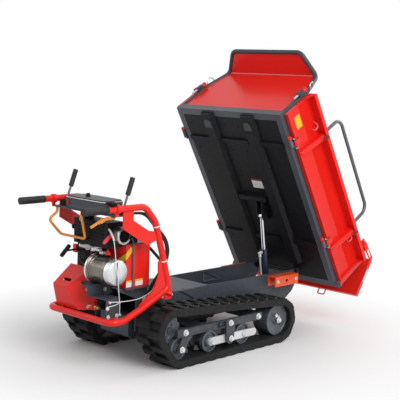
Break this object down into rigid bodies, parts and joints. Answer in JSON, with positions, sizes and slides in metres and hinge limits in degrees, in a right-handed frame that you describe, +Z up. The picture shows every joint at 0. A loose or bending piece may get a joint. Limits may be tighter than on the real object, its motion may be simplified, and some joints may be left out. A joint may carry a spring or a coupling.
{
  "type": "mini crawler dumper",
  "caption": "Walk-behind crawler carrier with rubber tracks and a hydraulic drop-side bed, shown with the bed tipped up and the tailgate hanging.",
  "frame": {"origin": "floor under the middle of the bounding box", "axes": "+X forward towards the tipping end, +Y to the left, +Z up"},
  "size_m": [2.176, 0.94, 1.6644],
  "materials": {
    "red_paint": "gloss",
    "steel_dark": "satin",
    "underside_paint": "satin",
    "orange_paint": "gloss",
    "zinc_white": "satin",
    "rail_steel": "satin",
    "amber_paint": "gloss",
    "engine_black": "matte",
    "alloy_silver": "satin",
    "navy_paint": "gloss",
    "rod_chrome": "polished",
    "track_rubber": "matte",
    "hose_rubber": "satin",
    "grip_black": "matte"
  },
  "bodies": {
    "chassis": {"box_cover": "red_paint", "chassis_frame": "steel_dark", "clutch_bail": "amber_paint", "console": "steel_dark", "deck_cover": "steel_dark", "drive_levers": "rail_steel", "engine_base": "steel_dark", "engine_block": "engine_black", "engine_drum": "alloy_silver", "frame_left": "red_paint", "frame_right": "red_paint", "fuel_box": "engine_black", "gear_case": "steel_dark", "grips": "grip_black", "hand_lever": "amber_paint", "hydraulic_hoses": "hose_rubber", "idler_left": "steel_dark", "idler_right": "steel_dark", "muffler": "alloy_silver", "rear_bumper": "red_paint", "rear_cover": "red_paint", "rocker_left": "zinc_white", "rocker_right": "zinc_white", "rollers_left": "steel_dark", "rollers_right": "steel_dark", "side_brackets": "orange_paint", "sprocket_left": "steel_dark", "sprocket_right": "steel_dark", "starter_handle": "grip_black", "track_frame_left": "steel_dark", "track_frame_right": "steel_dark", "track_left": "track_rubber", "track_right": "track_rubber"},
    "bed": {"bed_floor": "underside_paint", "bed_frame": "steel_dark", "headboard_frame": "steel_dark", "headboard_panel": "red_paint"},
    "side_left": {"side_panel_left": "red_paint", "load_rail_left": "rail_steel"},
    "side_right": {"side_panel_right": "red_paint", "load_rail_right": "rail_steel"},
    "tailgate_panel": {"tailgate": "red_paint"},
    "lift_tube": {"lift_barrel": "navy_paint", "lift_pipe": "zinc_white"},
    "lift_piston": {"lift_rod": "rod_chrome"}
  },
  "joints": [
    {"name": "bed_tilt", "type": "hinge", "parent": "chassis", "child": "bed", "pos_m": [0.676, 0, 0.335], "axis": [0, 1, 0], "range_deg": [-60, 0]},
    {"name": "tailgate_hinge", "type": "hinge", "parent": "bed", "child": "tailgate_panel", "pos_m": [0.99773, 0, 0.50574], "axis": [0, -1, 0], "range_deg": [-27.45, 62.55]},
    {"name": "side_right_fold", "type": "hinge", "parent": "bed", "child": "side_right", "pos_m": [0.46832, -0.414, 0.84672], "axis": [0.5, 0, -0.866], "range_deg": [0, 90]},
    {"name": "side_left_fold", "type": "hinge", "parent": "bed", "child": "side_left", "pos_m": [0.46832, 0.414, 0.84672], "axis": [-0.5, 0, 0.866], "range_deg": [0, 90]},
    {"name": "lift_swing", "type": "hinge", "parent": "chassis", "child": "lift_tube", "pos_m": [0.554, -0.04, 0.2], "axis": [0, 1, 0], "range_deg": [-54.62, 0]},
    {"name": "lift_stroke", "type": "slide", "parent": "lift_tube", "child": "lift_piston", "axis": [-0.1541, 0, 0.9881], "range_m": [-0.1785, 0]}
  ],
  "couplings": [
    {"joint": "lift_swing", "follows": "bed_tilt", "ratio": 0.90951},
    {"joint": "lift_stroke", "follows": "bed_tilt", "m_per_rad": 0.17031}
  ]
}
